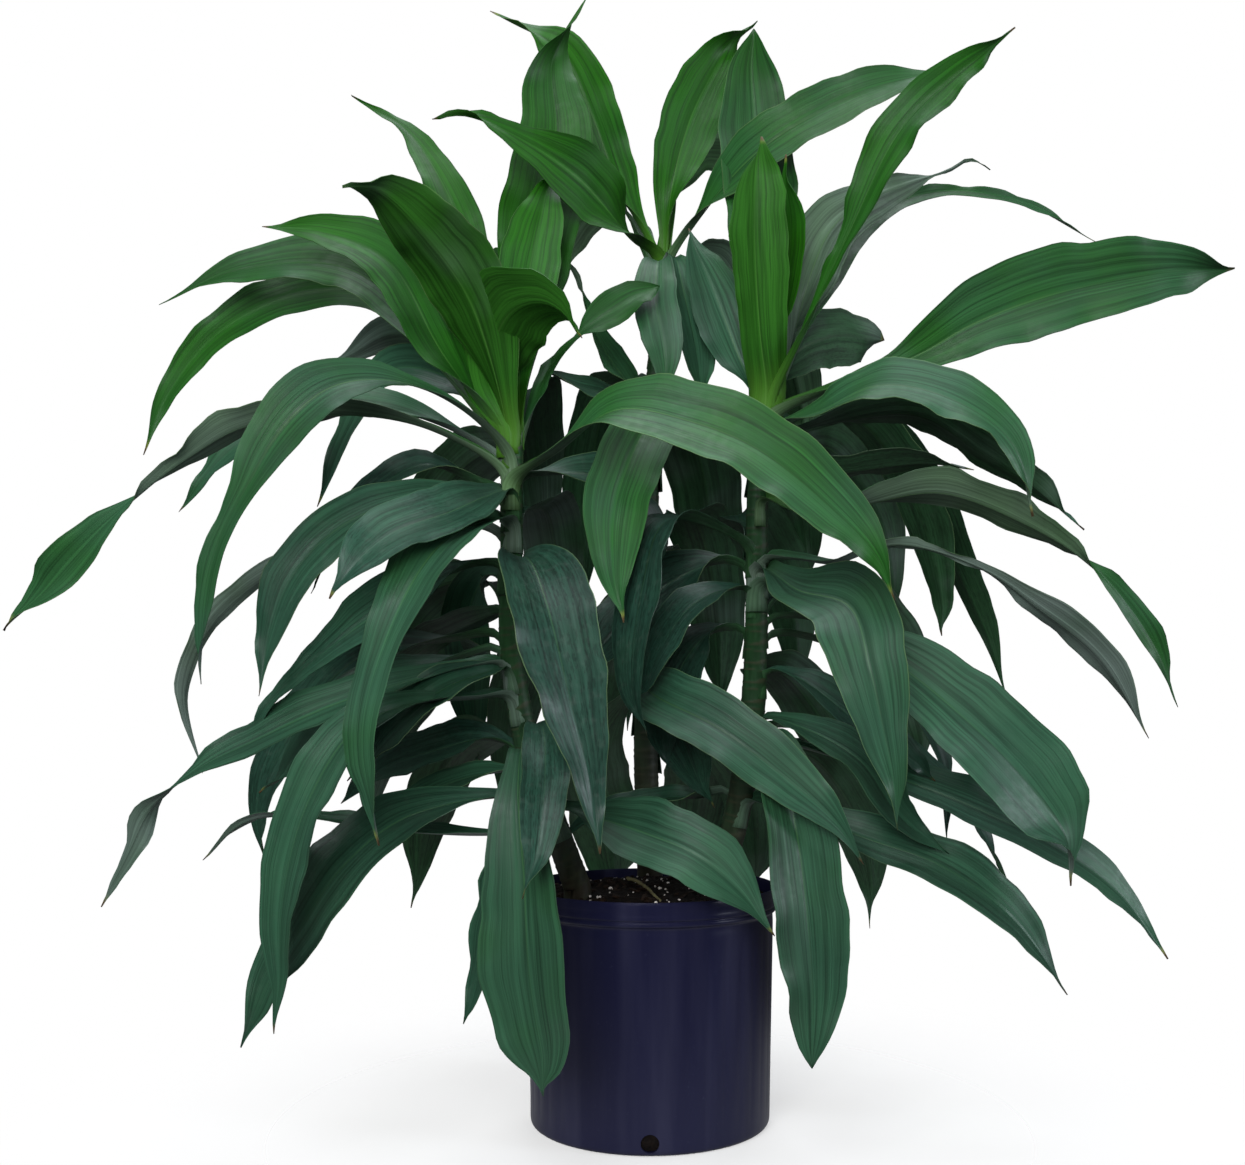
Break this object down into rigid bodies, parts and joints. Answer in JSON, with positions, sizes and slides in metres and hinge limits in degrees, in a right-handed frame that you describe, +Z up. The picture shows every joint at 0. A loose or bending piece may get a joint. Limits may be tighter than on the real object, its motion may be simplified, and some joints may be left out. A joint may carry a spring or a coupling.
{
  "type": "potted dracaena",
  "caption": "Bushy house plant with long, arching, strap-like green leaves on leafy canes, standing in a plain black nursery pot filled with soil.",
  "frame": {"origin": "middle of the pot's flat underside, on the surface it stands on", "axes": "+Z up along the pot's axis, +Y away from the viewer of the picture, +X to the viewer's right"},
  "size_m": [1.1474, 0.6294, 1.1771],
  "materials": {
    "pot": "satin black, slightly bluish, smooth with faint upright flow bands",
    "soil": "loose dark potting mix with white perlite grains",
    "leaf": "smooth leathery green, lightly waxy, pleated along its length, paler underneath"
  },
  "bodies": {
    "root": {"pot": "pot", "soil": "soil", "cane_left": "leaf", "cane_centre": "leaf", "cane_right": "leaf"}
  },
  "joints": []
}
